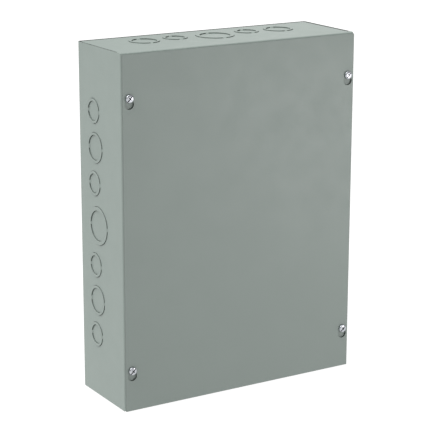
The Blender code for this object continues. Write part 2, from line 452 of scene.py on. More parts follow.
def knockout_places(wall, count):
    """Centre and size name of each knockout in a wall, worked out from its ring's node."""
    for number in range(1, count + 1):
        low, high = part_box(f"knockout_ring_{wall}_{number}")
        radius = (high.y - low.y) / 2 + CLEARANCE
        size = min(SIZES, key=lambda name: abs(SIZES[name][0] - radius))
        yield number, size, (low + high) / 2


def coat_with_painted_shade(name):
    """A darker copy of the powder coat, as light as the setting of that name: painted shade in seams and
    keyholes, and on sheared edges thinner paint together with painted shade of the gap beside them.
    """
    lightness = getattr(bpy.context.scene.pull_box_finish, name)
    return bpy.data.materials.get(name) or powder_coat(name, (0.9, 0.1, 0.7), lightness)


def powder_coat(name, shift, lightness=1.0):
    """Baked powder coat: orange peel, pigment grain, a slow drift in tone and the sheet's faint waves."""
    settings = bpy.context.scene.pull_box_finish
    # Below 1, lightness makes a darker copy of the coat as painted shade for seams, keyholes and sheared
    # edges, and the specular level below is dimmed with it.
    paint, roughness = Vector(settings.paint) * lightness, settings.paint_roughness
    coat = bpy.data.materials.new(name)
    coat.use_nodes = True
    coat.diffuse_color = (*paint, 1)
    nodes, links = coat.node_tree.nodes, coat.node_tree.links
    nodes.clear()

    tone_frame = nodes.new("NodeFrame")
    tone_frame.label = "Tone of the paint"
    gloss_frame = nodes.new("NodeFrame")
    gloss_frame.label = "Gloss"
    relief_frame = nodes.new("NodeFrame")
    relief_frame.label = "Relief"

    place = nodes.new("ShaderNodeTexCoord")
    place.label = "Place on the box"
    shifted = nodes.new("ShaderNodeMapping")
    shifted.label = "Own part of the pattern"
    shifted.inputs["Location"].default_value = shift

    drift = nodes.new("ShaderNodeTexNoise")
    drift.label = "Slow drift of the spray"
    drift.inputs["Scale"].default_value = 11.0
    drift.inputs["Detail"].default_value = 3.0
    drift.inputs["Roughness"].default_value = 0.45
    drift_mix = nodes.new("ShaderNodeMix")
    drift_mix.label = "Thin to thick film"
    drift_mix.data_type = "RGBA"
    drift_mix.inputs[6].default_value = (*(paint * 0.955), 1)
    drift_mix.inputs[7].default_value = (*(paint * 1.045), 1)
    grain = nodes.new("ShaderNodeTexNoise")
    grain.label = "Pigment grain"
    grain.inputs["Scale"].default_value = 1900.0
    grain.inputs["Detail"].default_value = 2.0
    grain_range = nodes.new("ShaderNodeMapRange")
    grain_range.label = "Only the strongest specks"
    grain_range.inputs["From Min"].default_value = 0.52
    grain_range.inputs["From Max"].default_value = 0.78
    grain_range.inputs["To Min"].default_value = 0.0
    grain_range.inputs["To Max"].default_value = 0.35
    grain_mix = nodes.new("ShaderNodeMix")
    grain_mix.label = "Specks over the film"
    grain_mix.data_type = "RGBA"
    grain_mix.inputs[7].default_value = (*(paint * 0.84), 1)

    haze = nodes.new("ShaderNodeTexNoise")
    haze.label = "Cloudy sheen"
    haze.inputs["Scale"].default_value = 46.0
    haze.inputs["Detail"].default_value = 4.0
    haze_range = nodes.new("ShaderNodeMapRange")
    haze_range.label = "Roughness of the film"
    haze_range.inputs["From Min"].default_value = 0.3
    haze_range.inputs["From Max"].default_value = 0.7
    haze_range.inputs["To Min"].default_value = roughness - 0.045
    haze_range.inputs["To Max"].default_value = roughness + 0.045

    wave = nodes.new("ShaderNodeTexNoise")
    wave.label = "Waves of rolled sheet"
    wave.inputs["Scale"].default_value = 9.0
    wave.inputs["Detail"].default_value = 1.0
    wave_bump = nodes.new("ShaderNodeBump")
    wave_bump.label = "Sheet waves"
    wave_bump.inputs["Strength"].default_value = 0.35
    wave_bump.inputs["Distance"].default_value = 0.0003
    peel = nodes.new("ShaderNodeTexNoise")
    peel.label = "Orange peel"
    peel.inputs["Scale"].default_value = 620.0
    peel.inputs["Detail"].default_value = 1.5
    peel_bump = nodes.new("ShaderNodeBump")
    peel_bump.label = "Orange peel relief"
    peel_bump.inputs["Strength"].default_value = 0.4
    peel_bump.inputs["Distance"].default_value = 0.00004
    texture = nodes.new("ShaderNodeTexVoronoi")
    texture.label = "Fine cured texture"
    texture.feature = "SMOOTH_F1"
    texture.inputs["Scale"].default_value = 2400.0
    texture_bump = nodes.new("ShaderNodeBump")
    texture_bump.label = "Fine relief"
    texture_bump.inputs["Strength"].default_value = 0.22
    texture_bump.inputs["Distance"].default_value = 0.00002

    shader = nodes.new("ShaderNodeBsdfPrincipled")
    shader.label = "Powder coat"
    shader.inputs["IOR"].default_value = 1.5
    shader.inputs["Specular IOR Level"].default_value = 0.42 * lightness
    output = nodes.new("ShaderNodeOutputMaterial")
    output.label = "Painted sheet"

    for group, members in (
        (None, ((place, -1500, 0), (shifted, -1300, 0), (shader, 0, 200), (output, 320, 200))),
        (
            tone_frame,
            (
                (drift, -1000, 500),
                (drift_mix, -750, 500),
                (grain, -1000, 250),
                (grain_range, -750, 250),
                (grain_mix, -500, 400),
            ),
        ),
        (gloss_frame, ((haze, -1000, 0), (haze_range, -750, 0))),
        (
            relief_frame,
            (
                (wave, -1000, -300),
                (wave_bump, -650, -300),
                (peel, -1000, -550),
                (peel_bump, -450, -450),
                (texture, -1000, -800),
                (texture_bump, -250, -600),
            ),
        ),
    ):
        for node, x, y in members:
            node.parent, node.location = group, (x, y)

    links.new(place.outputs["Object"], shifted.inputs["Vector"])
    links.new(shifted.outputs["Vector"], drift.inputs["Vector"])
    links.new(shifted.outputs["Vector"], grain.inputs["Vector"])
    links.new(shifted.outputs["Vector"], haze.inputs["Vector"])
    links.new(shifted.outputs["Vector"], wave.inputs["Vector"])
    links.new(shifted.outputs["Vector"], peel.inputs["Vector"])
    links.new(shifted.outputs["Vector"], texture.inputs["Vector"])
    links.new(drift.outputs["Fac"], drift_mix.inputs[0])
    links.new(drift_mix.outputs[2], grain_mix.inputs[6])
    links.new(grain.outputs["Fac"], grain_range.inputs["Value"])
    links.new(grain_range.outputs["Result"], grain_mix.inputs[0])
    links.new(grain_mix.outputs[2], shader.inputs["Base Color"])
    links.new(haze.outputs["Fac"], haze_range.inputs["Value"])
    links.new(haze_range.outputs["Result"], shader.inputs["Roughness"])
    links.new(wave.outputs["Fac"], wave_bump.inputs["Height"])
    links.new(peel.outputs["Fac"], peel_bump.inputs["Height"])
    links.new(texture.outputs["Distance"], texture_bump.inputs["Height"])
    links.new(wave_bump.outputs["Normal"], peel_bump.inputs["Normal"])
    links.new(peel_bump.outputs["Normal"], texture_bump.inputs["Normal"])
    links.new(texture_bump.outputs["Normal"], shader.inputs["Normal"])
    links.new(shader.outputs["BSDF"], output.inputs["Surface"])
    return coat


def zinc_plate(name, lightness=1.0):
    """Bright zinc plate: clear metal with a cloudy blue cast, fine scratches and a satin grain."""
    # Below 1, lightness makes a darker copy of the zinc, as painted shade for the screw's recess.
    zinc = Vector(bpy.context.scene.pull_box_finish.zinc) * lightness
    plate = bpy.data.materials.new(name)
    plate.use_nodes = True
    plate.diffuse_color = (*zinc, 1)
    nodes, links = plate.node_tree.nodes, plate.node_tree.links
    nodes.clear()

    tone_frame = nodes.new("NodeFrame")
    tone_frame.label = "Cast of the plating"
    gloss_frame = nodes.new("NodeFrame")
    gloss_frame.label = "Gloss"
    relief_frame = nodes.new("NodeFrame")
    relief_frame.label = "Relief"

    place = nodes.new("ShaderNodeTexCoord")
    place.label = "Place on the screw"
    stretched = nodes.new("ShaderNodeMapping")
    stretched.label = "Draws scratches out"
    stretched.inputs["Rotation"].default_value = (0, radians(28), 0)
    stretched.inputs["Scale"].default_value = (1, 1, 9)

    cast = nodes.new("ShaderNodeTexNoise")
    cast.label = "Cloudy passivation"
    cast.inputs["Scale"].default_value = 260.0
    cast.inputs["Detail"].default_value = 3.0
    cast_mix = nodes.new("ShaderNodeMix")
    cast_mix.label = "Bright to bluish"
    cast_mix.data_type = "RGBA"
    cast_mix.inputs[6].default_value = (*zinc, 1)
    cast_mix.inputs[7].default_value = (zinc.x * 0.84, zinc.y * 0.88, zinc.z * 0.95, 1)
    satin = nodes.new("ShaderNodeTexNoise")
    satin.label = "Satin patches"
    satin.inputs["Scale"].default_value = 700.0
    satin.inputs["Detail"].default_value = 4.0
    satin_range = nodes.new("ShaderNodeMapRange")
    satin_range.label = "Roughness of the plating"
    satin_range.inputs["From Min"].default_value = 0.3
    satin_range.inputs["From Max"].default_value = 0.7
    satin_range.inputs["To Min"].default_value = 0.17
    satin_range.inputs["To Max"].default_value = 0.34
    scratch = nodes.new("ShaderNodeTexNoise")
    scratch.label = "Tumbling scratches"
    scratch.inputs["Scale"].default_value = 900.0
    scratch.inputs["Detail"].default_value = 2.0
    scratch_bump = nodes.new("ShaderNodeBump")
    scratch_bump.label = "Scratch relief"
    scratch_bump.inputs["Strength"].default_value = 0.3
    scratch_bump.inputs["Distance"].default_value = 0.00003

    shader = nodes.new("ShaderNodeBsdfPrincipled")
    shader.label = "Zinc"
    shader.inputs["Metallic"].default_value = 1.0
    output = nodes.new("ShaderNodeOutputMaterial")
    output.label = "Plated screw"

    for group, members in (
        (
            None,
            (
                (place, -1300, 0),
                (stretched, -1100, -350),
                (shader, -150, 200),
                (output, 170, 200),
            ),
        ),
        (tone_frame, ((cast, -850, 350), (cast_mix, -550, 350))),
        (gloss_frame, ((satin, -850, 50), (satin_range, -550, 50))),
        (relief_frame, ((scratch, -850, -350), (scratch_bump, -450, -300))),
    ):
        for node, x, y in members:
            node.parent, node.location = group, (x, y)

    links.new(place.outputs["Object"], cast.inputs["Vector"])
    links.new(place.outputs["Object"], satin.inputs["Vector"])
    links.new(place.outputs["Object"], stretched.inputs["Vector"])
    links.new(stretched.outputs["Vector"], scratch.inputs["Vector"])
    links.new(cast.outputs["Fac"], cast_mix.inputs[0])
    links.new(cast_mix.outputs[2], shader.inputs["Base Color"])
    links.new(satin.outputs["Fac"], satin_range.inputs["Value"])
    links.new(satin_range.outputs["Result"], shader.inputs["Roughness"])
    links.new(scratch.outputs["Fac"], scratch_bump.inputs["Height"])
    links.new(scratch_bump.outputs["Normal"], shader.inputs["Normal"])
    links.new(shader.outputs["BSDF"], output.inputs["Surface"])
    return plate


def studio_floor():
    """Pale matt floor with a barely seen mottle."""
    colour = Vector(bpy.context.scene.pull_box_stage.floor_colour)
    made = bpy.data.materials.new("studio_floor")
    made.use_nodes = True
    nodes, links = made.node_tree.nodes, made.node_tree.links
    nodes.clear()
    place = nodes.new("ShaderNodeTexCoord")
    place.label = "Place on the floor"
    place.location = (-900, 0)
    mottle = nodes.new("ShaderNodeTexNoise")
    mottle.label = "Soft mottle"
    mottle.location = (-700, 0)
    mottle.inputs["Scale"].default_value = 3.0
    mottle_mix = nodes.new("ShaderNodeMix")
    mottle_mix.label = "Two near whites"
    mottle_mix.data_type = "RGBA"
    mottle_mix.location = (-450, 0)
    mottle_mix.inputs[6].default_value = (*colour, 1)
    mottle_mix.inputs[7].default_value = (*(colour * 0.99), 1)
    shader = nodes.new("ShaderNodeBsdfPrincipled")
    shader.label = "Matt floor"
    shader.location = (-200, 0)
    shader.inputs["Roughness"].default_value = 0.85
    shader.inputs["Specular IOR Level"].default_value = 0.2
    shader.inputs["Emission Color"].default_value = (1, 1, 1, 1)
    shader.inputs["Emission Strength"].default_value = bpy.context.scene.pull_box_stage.floor_glow
    output = nodes.new("ShaderNodeOutputMaterial")
    output.label = "Floor"
    output.location = (120, 0)
    links.new(place.outputs["Object"], mottle.inputs["Vector"])
    links.new(mottle.outputs["Fac"], mottle_mix.inputs[0])
    links.new(mottle_mix.outputs[2], shader.inputs["Base Color"])
    links.new(shader.outputs["BSDF"], output.inputs["Surface"])
    return made


def studio_wall():
    """A plain white glow, as of a lit studio wall far behind."""
    made = bpy.data.materials.new("studio_wall")
    made.use_nodes = True
    nodes, links = made.node_tree.nodes, made.node_tree.links
    nodes.clear()
    shader = nodes.new("ShaderNodeBsdfPrincipled")
    shader.label = "Lit wall"
    shader.location = (-200, 0)
    shader.inputs["Base Color"].default_value = (0, 0, 0, 1)
    shader.inputs["Specular IOR Level"].default_value = 0.0
    shader.inputs["Emission Color"].default_value = (1, 1, 1, 1)
    shader.inputs["Emission Strength"].default_value = 1.0
    output = nodes.new("ShaderNodeOutputMaterial")
    output.label = "Wall"
    output.location = (120, 0)
    links.new(shader.outputs["BSDF"], output.inputs["Surface"])
    return made


def helical_ridge(name, base_radius, crest_radius, low, high, pitch):
    """A closed ridge that winds round the Z axis, its base at one radius and its crest at the other."""
    half = 0.36 * pitch
    pick()
    bpy.ops.mesh.primitive_circle_add(
        vertices=3, radius=half, location=(base_radius, 0, low), rotation=FACING_FRONT
    )
    ridge = just_added(name)
    outline = {
        "crest": (crest_radius, 0, low),
        "under": (base_radius, 0, low - half),
        "over": (base_radius, 0, low + half),
    }
    edit(ridge)
    shape = bmesh.from_edit_mesh(ridge.data)
    for corner, at in zip(shape.verts, outline.values()):
        corner.co = at
    bmesh.update_edit_mesh(ridge.data)
    turns = int((high - low) / pitch)
    apply_modifier(
        ridge,
        "SCREW",
        axis="Z",
        angle=2 * pi,
        screw_offset=pitch,
        iterations=turns,
        steps=24,
        render_steps=24,
        use_merge_vertices=True,
    )
    edit(ridge)
    bpy.ops.mesh.select_all(action="SELECT")
    bpy.ops.mesh.remove_doubles(threshold=NEAR / 10)
    bpy.ops.mesh.fill_holes(sides=3)
    bpy.ops.mesh.select_all(action="SELECT")
    bpy.ops.mesh.normals_make_consistent(inside=False)
    pick(ridge)
    return ridge


class PULL_BOX_OT_folded_body(bpy.types.Operator):
    """Folds the back, the side walls and the front flanges out of one sheet, and cuts its holes"""

    bl_idname = "pull_box.folded_body"
    bl_label = "Folded Body"

    def execute(self, context):
        body = context.scene.pull_box_body
        shell = add_block("folded_body", SHELL_LOW, SHELL_HIGH)
        edit(shell)
        choose(shell, "FACE", lambda face: abs(face.normal.z) > 0.9 or face.normal.y < -0.9)
        bpy.ops.mesh.delete(type="FACE")
        for side in (-1, 1):
            choose(
                shell,
                "EDGE",
                lambda edge: all(
                    corner.co.y < FRONT_Y + NEAR and corner.co.x * side > 0
                    for corner in edge.verts
                ),
            )
            extrude((-side * body.side_flange, 0, 0))
        choose(
            shell,
            "EDGE",
            lambda edge: all(abs(corner.co.x) > SIDE_X - NEAR for corner in edge.verts)
            and abs(edge.verts[0].co.z - edge.verts[1].co.z) > MM,
        )
        fold(body)
        thicken(shell, body)
        cut(shell, [*self.knockout_holes(), *self.small_holes(), *self.flange_ends(body)])
        cut(shell, list(self.ground_corners(body)))
        self.mark_seams(shell, body)
        round_edges(shell, body.edge_round)
        coat = powder_coat("folded_body_coat", (0, 0, 0))
        # Painted shade: the knockouts' sheared walls take the darker edge coat, which stands for thinner
        # paint and for the shade of the gap round each ring. The unwelded seams beside the end pans take
        # the much darker seam shade, painted where shade falls in the groove.
        finish_with(
            shell,
            coat,
            (coat_with_painted_shade("edge_coat_and_gap_shade"), lambda face: self.in_knockout(face, body)),
            (coat_with_painted_shade("seam_painted_shade"), lambda face: self.in_seam(face, body)),
        )
        hand_over(shell, "enclosure", "body_shell_paint", "body_shell")
        self.collars(body, coat)
        return {"FINISHED"}

    def knockout_holes(self):
        for wall, count, _, turn in SIDE_WALLS:
            for _, size, centre in knockout_places(wall, count):
                yield add_rod("hole", SIZES[size][0], CUTTER_LENGTH, centre, turn)

    def small_holes(self):
        for corner in CORNERS:
            x, z = screw_place(corner)
            at = (x, FRONT_Y, z)
            yield add_rod("bore", SCREW_BORE_RADIUS, CUTTER_LENGTH, at, FACING_FRONT, 32)
        for right in (-0.5, 0.5):
            for up in (-0.5, 0.5):
                at = (right * MOUNT_SPACING.x, BACK_Y, MIDDLE_Z + up * MOUNT_SPACING.z)
                yield add_rod("mount", MOUNT_HOLE_RADIUS, CUTTER_LENGTH, at, FACING_FRONT, 48)

    def flange_ends(self, body):
        """Blocks that shorten the side flanges where the end pans' own flanges fit."""
        flange = PAN_HIGH.z - PAN_LOW.z + CLEARANCE
        inner = SIDE_X - body.side_flange - CUTTER_PAST
        outer = SIDE_X - body.bend_radius + 0.2 * MM
        bottom_end = (BASE_Z - CUTTER_PAST, BASE_Z + flange)
        top_end = (TOP_Z - flange, TOP_Z + CUTTER_PAST)
        for low, high in (bottom_end, top_end):
            for left, right in ((-outer, -inner), (inner, outer)):
                lowest = (left, FRONT_Y - CUTTER_PAST, low)
                yield add_block("end", lowest, (right, FRONT_Y + body.bend_radius, high))

    def ground_corners(self, body):
        """What grinding takes off the front folds' ends, so that they run into the end pans' folds."""
        reach, radius = CUTTER_PAST, body.bend_radius
        for end_z, inward in ((BASE_Z, 1), (TOP_Z, -1)):
            centre = (0, FRONT_Y + radius, end_z + inward * radius)
            low_z, high_z = sorted((centre[2], end_z - inward * reach))
            low = (-SIDE_X - reach, FRONT_Y - reach, low_z)
            corner = add_block("corner", low, (SIDE_X + reach, centre[1], high_z))
            cut(corner, [add_rod("fold", radius, 2 * SIDE_X + 4 * reach, centre, (0, pi / 2, 0))])
            yield corner

    def mark_seams(self, shell, body):
        """Edges round the seams beside the end pans, which end at the welded front corners."""
        edit(shell)
        for place, normal in (
            ((0, 0, BASE_Z + body.seam_shade_depth), (0, 0, 1)),
            ((0, 0, TOP_Z - body.seam_shade_depth), (0, 0, 1)),
            ((0, FRONT_Y + body.weld_length, 0), (0, 1, 0)),
        ):
            bpy.ops.mesh.select_all(action="SELECT")
            bpy.ops.mesh.bisect(plane_co=place, plane_no=normal)
        pick(shell)

    def in_knockout(self, face, body):
        """Whether the face is the sheared wall of a knockout's hole."""
        centre = face.calc_center_median()
        within_sheet = 0.1 * body.sheet < SIDE_X - abs(centre.x) < 0.9 * body.sheet
        in_row = abs(centre.y) < 0.8 * BACK_Y and abs(centre.z - MIDDLE_Z) < 0.8 * MIDDLE_Z
        return within_sheet and in_row and abs(face.normal.x) < 0.5

    def in_seam(self, face, body):
        """Whether the face is in the seam beside an end pan, inside the sheet or on its open edge."""
        centre = face.calc_center_median()
        near_end = min(centre.z - BASE_Z, TOP_Z - centre.z) < body.seam_shade_depth
        unwelded = centre.y > FRONT_Y + body.weld_length
        most_of_sheet = 0.9 * body.sheet
        inner = abs(centre.x) < SIDE_X - most_of_sheet and centre.y < BACK_Y - most_of_sheet
        return near_end and unwelded and (inner or abs(face.normal.z) > 0.7)

    def collars(self, body, coat):
        """A drawn collar behind each screw hole, flared where it leaves the flange, with its thread."""
        screw = bpy.context.scene.pull_box_screw
        centre = (0, 0, -body.sheet - COLLAR_LENGTH / 2)
        collar = add_rod("collar", COLLAR_RADIUS, COLLAR_LENGTH, centre, sides=48)
        edit(collar)
        choose(collar, "FACE", lambda face: abs(face.normal.z) > 0.9)
        bpy.ops.mesh.inset(thickness=COLLAR_RADIUS - SCREW_BORE_RADIUS, use_individual=True)
        bpy.ops.mesh.bridge_edge_loops()
        outer_rim = COLLAR_RADIUS - NEAR
        for top, reach in ((True, 0.75 * MM), (False, 0.5 * MM)):
            choose(
                collar,
                "EDGE",
                lambda edge: all(
                    corner.co.xy.length > outer_rim and (corner.co.z > centre[2]) == top
                    for corner in edge.verts
                ),
            )
            bpy.ops.mesh.bevel(offset=reach, segments=4, affect="EDGES", profile=0.5)
        pick(collar)
        ridge = helical_ridge(
            "collar_thread",
            SCREW_BORE_RADIUS + 0.15 * MM,
            SCREW_BORE_RADIUS - 0.18 * MM,
            -body.sheet - COLLAR_LENGTH + 0.4 * MM,
            -0.2 * MM,
            screw.pitch,
        )
        collar = join("collar", [collar, ridge])
        smooth(collar)
        finish_with(collar, coat)
        for corner in CORNERS:
            x, z = screw_place(corner)
            piece = copy_to(collar, f"tapped_collar_{corner}", (x, FRONT_Y, z), FACING_FRONT)
            hand_over(piece, "enclosure", "body_shell_paint")
        forget(collar)


class PULL_BOX_OT_end_pans(bpy.types.Operator):
    """Folds the top and bottom end pans, and welds them into the body"""

    bl_idname = "pull_box.end_pans"
    bl_label = "End Pans"

    def execute(self, context):
        body = context.scene.pull_box_body
        pan = add_block("top_pan", PAN_LOW, PAN_HIGH)
        edit(pan)
        choose(pan, "FACE", lambda face: face.normal.z < -0.9)
        bpy.ops.mesh.delete(type="FACE")
        choose(
            pan,
            "EDGE",
            lambda edge: all(corner.co.z > PAN_HIGH.z - NEAR for corner in edge.verts),
        )
        fold(body)
        thicken(pan, body)
        top_name, top_count = END_WALLS[0][:2]
        holes = [
            add_rod("hole", SIZES[size][0], CUTTER_LENGTH, centre)
            for _, size, centre in knockout_places(top_name, top_count)
        ]
        cut(pan, holes)
        round_edges(pan, body.edge_round)
        welds = {side: self.corner_weld(body, side) for side in (-1, 1)}
        spots = self.spot_welds(body)
        flip = ((0, 0, BASE_Z + TOP_Z), (0, pi, 0))
        top_coat = powder_coat("top_pan_coat", (0.7, 0.2, 0.1))
        bottom_coat = powder_coat("bottom_pan_coat", (0.3, 0.9, 0.4))
        bottom = copy_to(pan, "bottom_pan", *flip)
        # Painted shade, in part: the walls of the pan's knockout holes take the darker edge coat, thinner
        # paint together with painted shade of the gap round each ring.
        sheared = (coat_with_painted_shade("edge_coat_and_gap_shade"), self.in_knockout)
        finish_with(pan, top_coat, sheared)
        finish_with(bottom, bottom_coat, sheared)
        hand_over(pan, "enclosure", "top_panel_paint", "top_panel")
        hand_over(bottom, "enclosure", "bottom_panel_paint", "bottom_panel")
        for piece, top_name, bottom_name in (
            (spots, "spot_welds_top", "spot_welds_bottom"),
            (welds[-1], "corner_weld_top_left", "corner_weld_bottom_right"),
            (welds[1], "corner_weld_top_right", "corner_weld_bottom_left"),
        ):
            piece.name = piece.data.name = top_name
            bottom_piece = copy_to(piece, bottom_name, *flip)
            finish_with(bottom_piece, bottom_coat)
            finish_with(piece, top_coat)
            hand_over(bottom_piece, "enclosure", "bottom_panel_paint")
            hand_over(piece, "enclosure", "top_panel_paint")
        return {"FINISHED"}

    def in_knockout(self, face):
        """Whether the face is the sheared wall of a knockout's hole."""
        centre = face.calc_center_median()
        in_row = abs(centre.x) < 0.8 * PAN_HIGH.x and abs(centre.y) < 0.8 * PAN_HIGH.y
        return in_row and abs(face.normal.z) < 0.5

    def corner_weld(self, body, side):
        """The weld that fills a front corner and the start of the seam, ground to follow the folds."""
        inner, outer = side * (PAN_HIGH.x - body.bend_radius), side * (SIDE_X - 0.05 * MM)
        front, back = FRONT_Y + 0.1 * MM, FRONT_Y + body.weld_length
        top = TOP_Z - 0.05 * MM
        low = (min(inner, outer), front, TOP_Z - 2 * body.bend_radius)
        weld = add_block("corner_weld", low, (max(inner, outer), back, top))

        def on_fold(corner):
            return corner.co.y < front + NEAR

        def on_top(corner):
            return corner.co.z > top - NEAR

        edit(weld)
        choose(
            weld,
            "EDGE",
            lambda edge: all(on_fold(corner) for corner in edge.verts)
            and (
                all(on_top(corner) for corner in edge.verts)
                or all(abs(corner.co.x) > abs(outer) - NEAR for corner in edge.verts)
            ),
        )
        bpy.ops.mesh.bevel(
            offset=body.bend_radius - 0.1 * MM, segments=6, affect="EDGES", profile=0.5
        )
        choose(
            weld,
            "EDGE",
            lambda edge: all(on_top(corner) and corner.co.y > back - NEAR for corner in edge.verts),
        )
        bpy.ops.mesh.bevel(offset=1.8 * MM, segments=6, affect="EDGES", profile=0.5)
        smooth(weld)
        return weld

    def spot_welds(self, body):
        """Round, slightly dished marks where the pan's flanges are spot-welded, seen from inside."""
        mark = add_rod("mark", body.spot_radius, 0.3 * MM, (0, 0, 0), sides=32)
        edit(mark)
        choose(mark, "FACE", lambda face: face.normal.z > 0.9)
        bpy.ops.mesh.inset(thickness=0.7 * MM)
        bpy.ops.transform.translate(value=(0, 0, -0.12 * MM))
        pick(mark)
        round_edges(mark, 0.08 * MM)
        z = TOP_Z - 9.5 * MM
        inner_x = PAN_HIGH.x - body.sheet
        inner_y = PAN_HIGH.y - body.sheet
        marks = []
        for y in (-25 * MM, 2 * MM, 30 * MM):
            marks.append(copy_to(mark, "spot", (inner_x, y, z), (0, -pi / 2, 0)))
            marks.append(copy_to(mark, "spot", (-inner_x, y, z), (0, pi / 2, 0)))
        for x in (-110 * MM, -37 * MM, 37 * MM, 110 * MM):
            marks.append(copy_to(mark, "spot", (x, inner_y, z), (pi / 2, 0, 0)))
        forget(mark)
        return join("spot_welds", marks)


class PULL_BOX_OT_knockouts(bpy.types.Operator):
    """Models one ring and one slug of each size with their ties, and copies them into the walls"""

    bl_idname = "pull_box.knockouts"
    bl_label = "Knockouts"

    def execute(self, context):
        settings = context.scene.pull_box_knockout
        sheet = context.scene.pull_box_body.sheet
        rings = {size: self.ring(size, settings, sheet) for size in SIZES}
        slugs = {size: self.slug(size, settings, sheet) for size in SIZES}
        ring_coat = powder_coat("knockout_ring_coat", (0.15, 0.45, 0.8))
        slug_coat = powder_coat("knockout_slug_coat", (0.55, 0.35, 0.6))
        # Painted shade, in part: the side walls of the rings and slugs take the darker edge coat, thinner
        # paint together with painted shade of the sheared gaps.
        sheared = (coat_with_painted_shade("edge_coat_and_gap_shade"), lambda face: abs(face.normal.z) < 0.5)
        for size in SIZES:
            finish_with(rings[size], ring_coat, sheared)
            finish_with(slugs[size], slug_coat, sheared)
        for wall, count, out, turn in (*SIDE_WALLS, *END_WALLS):
            for number, size, centre in knockout_places(wall, count):
                at = centre - out * (settings.raised - sheet / 2)
                ring = copy_to(rings[size], f"ring_{wall}_{number}", at, turn)
                slug = copy_to(slugs[size], f"slug_{wall}_{number}", at, turn)
                hand_over(ring, "enclosure", "knockout_ring_paint", f"knockout_ring_{wall}_{number}")
                hand_over(slug, "enclosure", "knockout_slug_paint", f"knockout_slug_{wall}_{number}")
        forget(*rings.values(), *slugs.values())
        return {"FINISHED"}

    def ring(self, size, settings, sheet):
        """A ring raised above z = 0, let down to the wall at its two ties."""
        outer, inner = SIZES[size]
        outer -= settings.shear_gap
        centre = (0, 0, settings.raised - sheet / 2)
        ring = add_rod(f"ring_{size}", outer, sheet, centre)
        edit(ring)
        choose(ring, "FACE", lambda face: abs(face.normal.z) > 0.9)
        bpy.ops.mesh.inset(thickness=settings.tie_run, use_individual=True)
        bpy.ops.mesh.inset(thickness=outer - inner - settings.tie_run, use_individual=True)
        bpy.ops.mesh.bridge_edge_loops()
        choose(ring, "VERT", lambda corner: self.at_tie(corner, outer, settings))
        bpy.ops.transform.translate(value=(0, 0, -settings.raised))
        for side in (-1, 1):
            self.reach_over(ring, outer, side, settings)
        pick(ring)
        round_edges(ring, 0.16 * MM, angle=50)
        return ring

    def slug(self, size, settings, sheet):
        """A slug sunk below z = 0, brought up to the ring at its two ties."""
        inner = SIZES[size][1] - settings.shear_gap
        centre = (0, 0, -settings.sunk - sheet / 2)
        slug = add_rod(f"slug_{size}", inner, sheet, centre)
        edit(slug)
        choose(slug, "FACE", lambda face: abs(face.normal.z) > 0.9)
        bpy.ops.mesh.inset(thickness=settings.tie_run, use_individual=True)
        choose(slug, "VERT", lambda corner: self.at_tie(corner, inner, settings))
        bpy.ops.transform.translate(value=(0, 0, settings.raised + settings.sunk))
        for side in (-1, 1):
            self.reach_over(slug, inner, side, settings)
        pick(slug)
        round_edges(slug, 0.16 * MM, angle=50)
        return slug

    def at_tie(self, corner, radius, settings):
        on_rim = corner.co.xy.length > radius - NEAR
        return on_rim and abs(corner.co.x) < settings.tie_width / 2

    def reach_over(self, piece, radius, side, settings):
        """Carries a tie across the sheared gap on one side, and a little into what holds it."""
        edit(piece)
        choose(
            piece,
            "FACE",
            lambda face: abs(face.normal.z) < 0.3
            and side * face.calc_center_median().y > 0
            and all(self.at_tie(corner, radius, settings) for corner in face.verts),
        )
        extrude((0, side * (settings.shear_gap + CLEARANCE), 0))


class PULL_BOX_OT_cover(bpy.types.Operator):
    """Cuts the flat cover with its four keyholes"""

    bl_idname = "pull_box.cover"
    bl_label = "Cover"

    def execute(self, context):
        cover = add_block("blank_cover", COVER_LOW, COVER_HIGH)
        y = (COVER_LOW.y + COVER_HIGH.y) / 2
        places = [screw_place(corner) for corner in CORNERS]
        round_places = [(x, z - KEYHOLE_DROP) for x, z in places]
        rounds = [
            add_rod("round", KEYHOLE_ROUND_RADIUS, CUTTER_LENGTH, (x, y, low_z), FACING_FRONT, 64)
            for x, low_z in round_places
        ]
        slots = [
            add_block(
                "slot",
                (x - KEYHOLE_SLOT_RADIUS, y - CUTTER_LENGTH / 2, z - KEYHOLE_DROP),
                (x + KEYHOLE_SLOT_RADIUS, y + CUTTER_LENGTH / 2, z),
            )
            for x, z in places
        ]
        ends = [
            add_rod("end", KEYHOLE_SLOT_RADIUS, CUTTER_LENGTH, (x, y, z), FACING_FRONT, 40)
            for x, z in places
        ]
        for cutters in (rounds, slots, ends):
            cut(cover, cutters)
        edit(cover)
        bpy.ops.mesh.select_all(action="SELECT")
        bpy.ops.mesh.remove_doubles(threshold=2 * NEAR)
        round_edges(cover, 0.2 * MM)
        coat = powder_coat("cover_coat", (0.05, 0.6, 0.25))
        # Painted shade: the cover's outer edges take the darker edge coat, which stands for thinner paint
        # and for the shade of the gap behind the cover. The keyhole walls take the much darker seam
        # shade, a painted shadow in each keyhole.
        finish_with(
            cover,
            coat,
            (coat_with_painted_shade("edge_coat_and_gap_shade"), lambda face: abs(face.normal.y) < 0.5),
            (coat_with_painted_shade("seam_painted_shade"), self.in_keyhole),
        )
        hand_over(cover, "cover", "cover_paint", "cover")
        return {"FINISHED"}

    def in_keyhole(self, face):
        """Whether the face is a keyhole's wall, and not the cover's outer edge."""
        centre = face.calc_center_median()
        near_side = abs(centre.x) > COVER_HIGH.x - MM
        near_end = min(centre.z - COVER_LOW.z, COVER_HIGH.z - centre.z) < MM
        return abs(face.normal.y) < 0.5 and not near_side and not near_end


